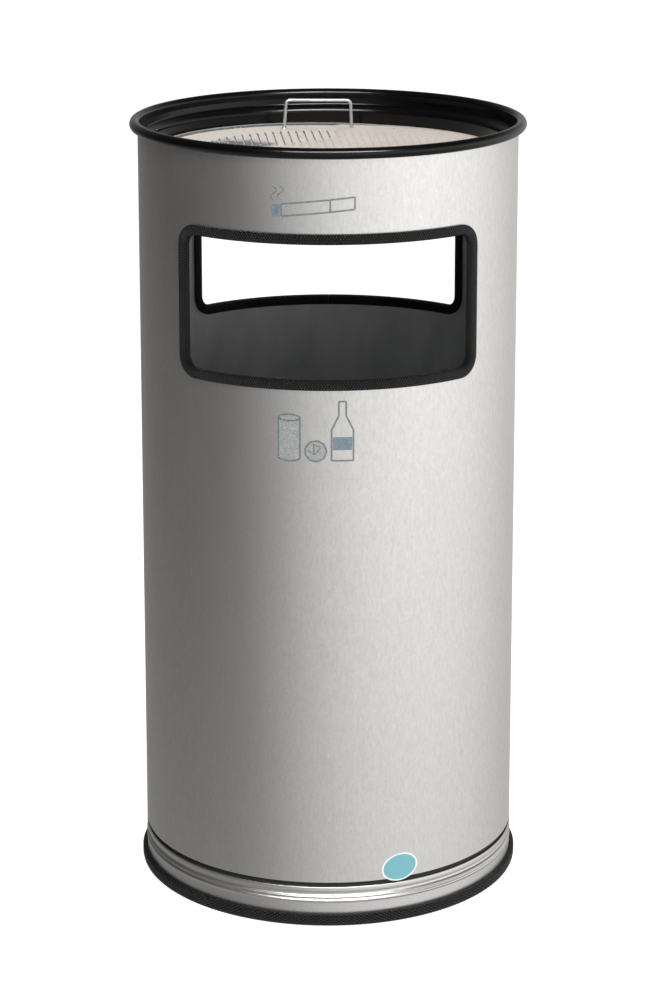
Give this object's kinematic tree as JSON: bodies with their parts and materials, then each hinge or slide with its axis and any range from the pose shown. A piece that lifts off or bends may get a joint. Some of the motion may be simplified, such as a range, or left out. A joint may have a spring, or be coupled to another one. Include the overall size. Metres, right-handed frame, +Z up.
{
  "type": "ashtray bin",
  "caption": "Round free-standing litter bin in brushed steel with rubber-edged mouths front and rear, a lift-off sand ash pan with sieve, and a galvanised liner bucket.",
  "frame": {"origin": "on the floor, at the centre of the round base", "axes": "+Z up along the bin's axis, the front mouth faces -Y, +X to the right of a person facing the front"},
  "size_m": [0.34, 0.34, 0.67],
  "materials": {
    "shell_steel": "satin, brushed vertically",
    "ring_steel": "satin, brushed along the ring",
    "trim_rubber": "grained black edging",
    "foot_rubber": "grained black foot",
    "sticker_foil": null,
    "pan_coat": "semi-gloss black powder coat",
    "sand": "dry fine sand",
    "sieve_zinc": "galvanised sheet",
    "handle_zinc": "bright zinc-plated wire",
    "plate_zinc": "galvanised sheet",
    "liner_zinc": "galvanised sheet with spangle",
    "fitting_zinc": "zinc-plated ears and rivets",
    "bail_zinc": "zinc-plated wire"
  },
  "bodies": {
    "bin": {"body_shell": "shell_steel", "front_opening_trim": "trim_rubber", "rear_opening_trim": "trim_rubber", "base_ring": "ring_steel", "floor_plate": "plate_zinc", "base_trim": "foot_rubber", "oval_sticker": "sticker_foil"},
    "ash_pan": {"ash_pan": "pan_coat", "sand_fill": "sand"},
    "sieve": {"sieve_plate": "sieve_zinc", "sieve_handle": "handle_zinc"},
    "liner": {"liner_wall": "liner_zinc", "liner_base": "liner_zinc", "liner_rim_wire": "fitting_zinc", "liner_ear_left": "fitting_zinc", "liner_ear_right": "fitting_zinc", "ear_rivet_left_lower": "fitting_zinc", "ear_rivet_left_upper": "fitting_zinc", "ear_rivet_right_lower": "fitting_zinc", "ear_rivet_right_upper": "fitting_zinc"},
    "bail": {"bail_wire": "bail_zinc"}
  },
  "joints": [
    {"name": "pan_lift", "type": "slide", "parent": "bin", "child": "ash_pan", "axis": [0, 0, 1], "range_m": [0, 0.1]},
    {"name": "sieve_lift", "type": "slide", "parent": "ash_pan", "child": "sieve", "axis": [0, 0, 1], "range_m": [0, 0.06]},
    {"name": "liner_lift", "type": "slide", "parent": "bin", "child": "liner", "axis": [0, 0, 1], "range_m": [0, 0.08]},
    {"name": "bail_swing", "type": "hinge", "parent": "liner", "child": "bail", "pos_m": [0, 0, 0.3688], "axis": [1, 0, 0], "range_deg": [0, 180]}
  ]
}
